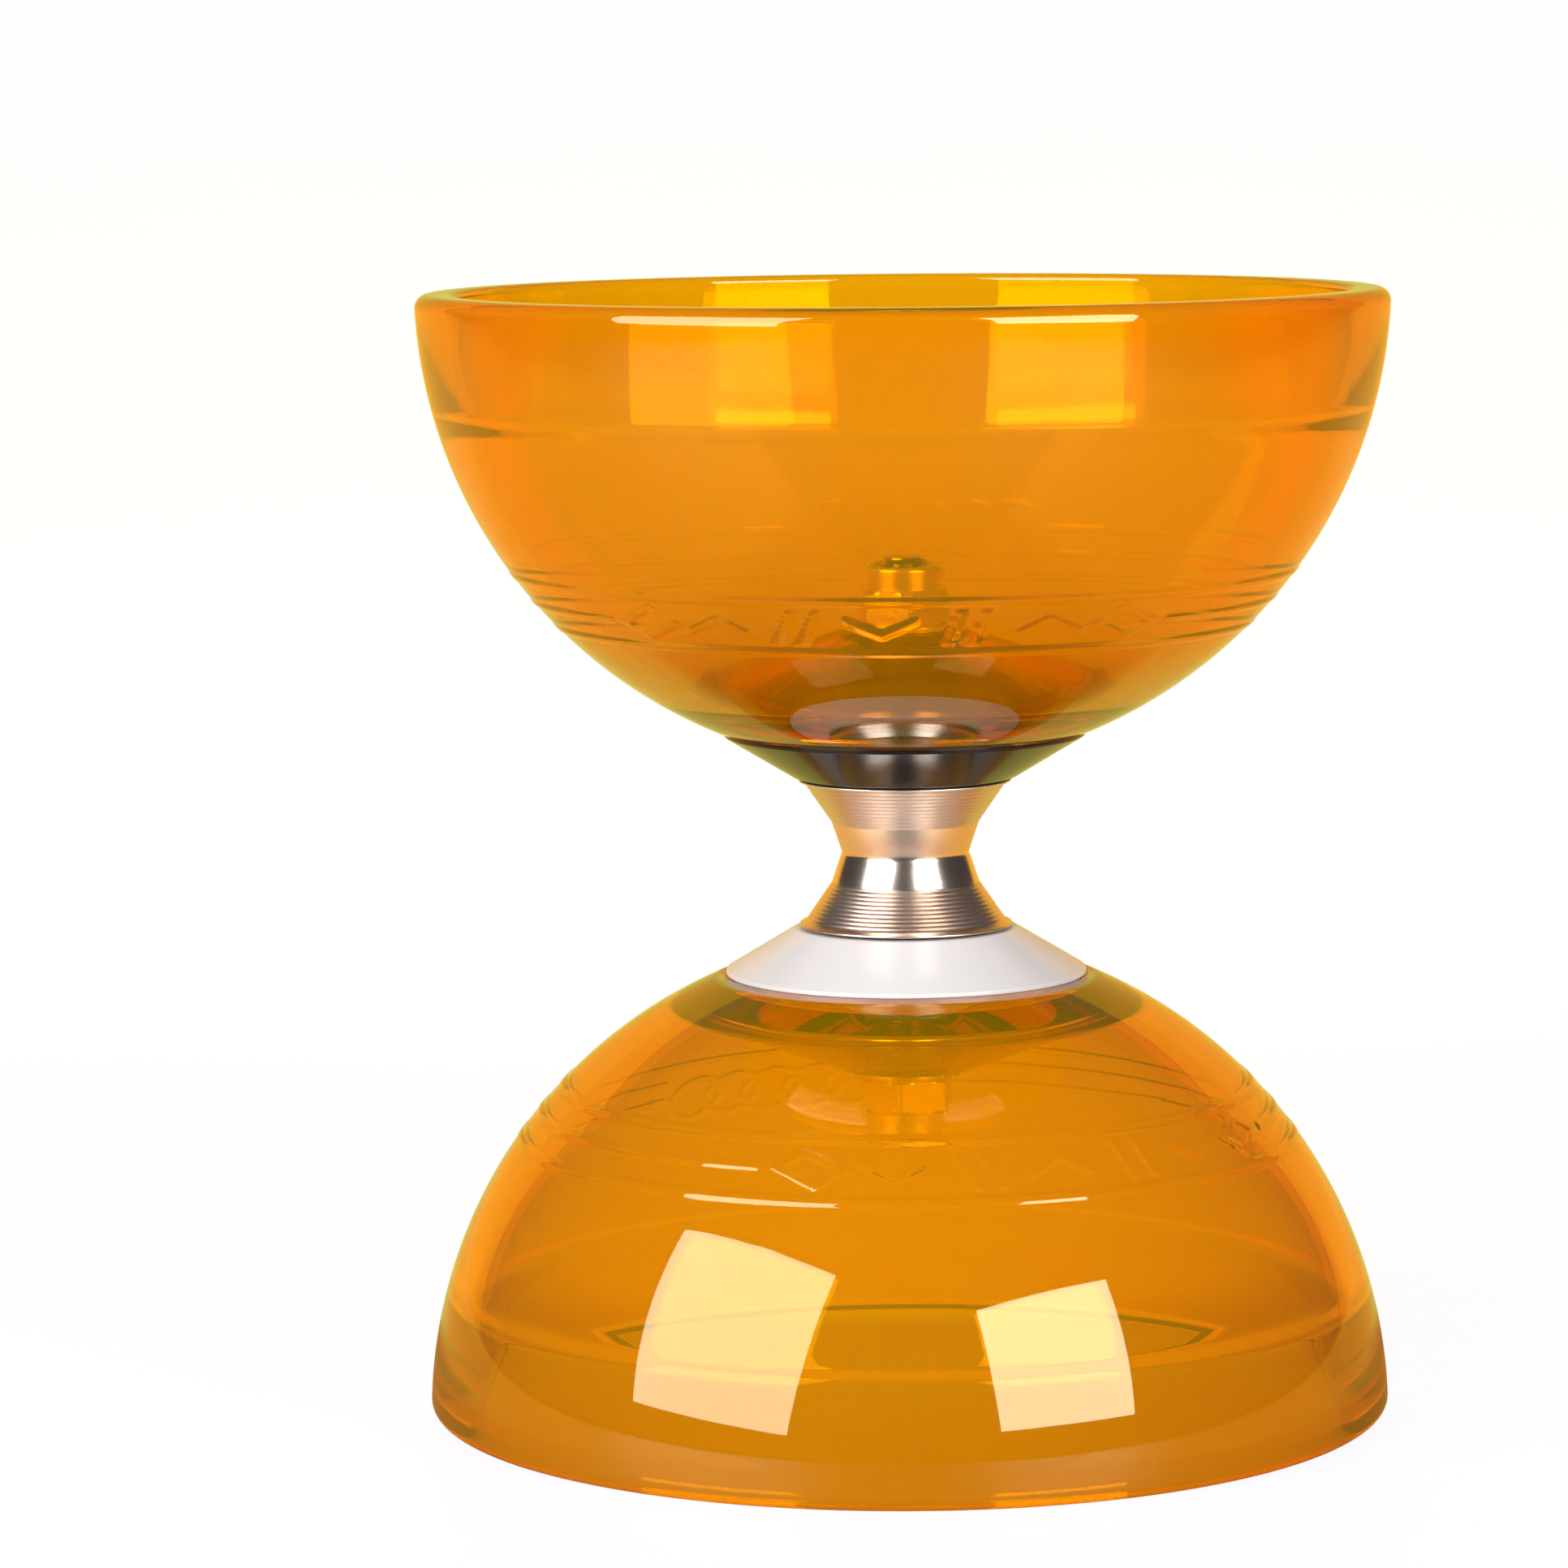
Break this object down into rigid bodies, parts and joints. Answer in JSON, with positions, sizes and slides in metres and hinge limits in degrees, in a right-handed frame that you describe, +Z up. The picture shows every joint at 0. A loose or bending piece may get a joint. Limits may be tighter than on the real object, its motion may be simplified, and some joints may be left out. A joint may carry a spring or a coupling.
{
  "type": "diabolo",
  "caption": "Ball-bearing diabolo: two translucent bowls clamped back to back on an axle, with a free-turning steel string hub between them.",
  "frame": {"origin": "centre of the lower rim, on the surface the toy stands on", "axes": "+Z up along the spin axis, from the lower bowl to the upper one"},
  "size_m": [0.1258, 0.1258, 0.1464],
  "materials": {
    "amber_cup": "translucent amber, moulded gloss",
    "black_cone": "gloss black",
    "white_cone": "gloss white",
    "zinc_steel": "bright zinc plate",
    "nylon": "natural nylon",
    "bearing_steel": "ground and polished",
    "shield_steel": "pressed steel",
    "cage_plastic": "moulded nylon",
    "axle_steel": "hardened, ground in the middle, threaded ends",
    "hub_steel": "fine turned steel, polished cone"
  },
  "bodies": {
    "spool": {"upper_cup": "amber_cup", "upper_cone_washer": "black_cone", "upper_flat_washer": "zinc_steel", "upper_lock_nut": "zinc_steel", "upper_nut_insert": "nylon", "upper_bearing_inner_ring": "bearing_steel", "lower_cup": "amber_cup", "lower_cone_washer": "white_cone", "lower_flat_washer": "zinc_steel", "lower_lock_nut": "zinc_steel", "lower_nut_insert": "nylon", "lower_bearing_inner_ring": "bearing_steel", "axle_shaft": "axle_steel"},
    "hub": {"hub_spool": "hub_steel", "clutch_shell": "bearing_steel", "clutch_rollers": "bearing_steel", "clutch_cage": "cage_plastic", "clutch_springs": "shield_steel", "upper_bearing_outer_ring": "bearing_steel", "upper_bearing_outer_shield": "shield_steel", "upper_bearing_inner_shield": "shield_steel", "lower_bearing_outer_ring": "bearing_steel", "lower_bearing_outer_shield": "shield_steel", "lower_bearing_inner_shield": "shield_steel"},
    "upper_ball_set": {"upper_bearing_balls": "bearing_steel", "upper_bearing_cage": "cage_plastic"},
    "lower_ball_set": {"lower_bearing_balls": "bearing_steel", "lower_bearing_cage": "cage_plastic"}
  },
  "joints": [
    {"name": "hub_spin", "type": "hinge", "parent": "spool", "child": "hub", "pos_m": [0, 0, 0.0732], "axis": [0, 0, 1], "continuous": true},
    {"name": "upper_ball_orbit", "type": "hinge", "parent": "spool", "child": "upper_ball_set", "pos_m": [0, 0, 0.07989], "axis": [0, 0, 1], "continuous": true},
    {"name": "lower_ball_orbit", "type": "hinge", "parent": "spool", "child": "lower_ball_set", "pos_m": [0, 0, 0.06651], "axis": [0, 0, 1], "continuous": true}
  ],
  "couplings": [
    {"joint": "upper_ball_orbit", "follows": "hub_spin", "ratio": 0.60709},
    {"joint": "lower_ball_orbit", "follows": "hub_spin", "ratio": 0.60709}
  ]
}
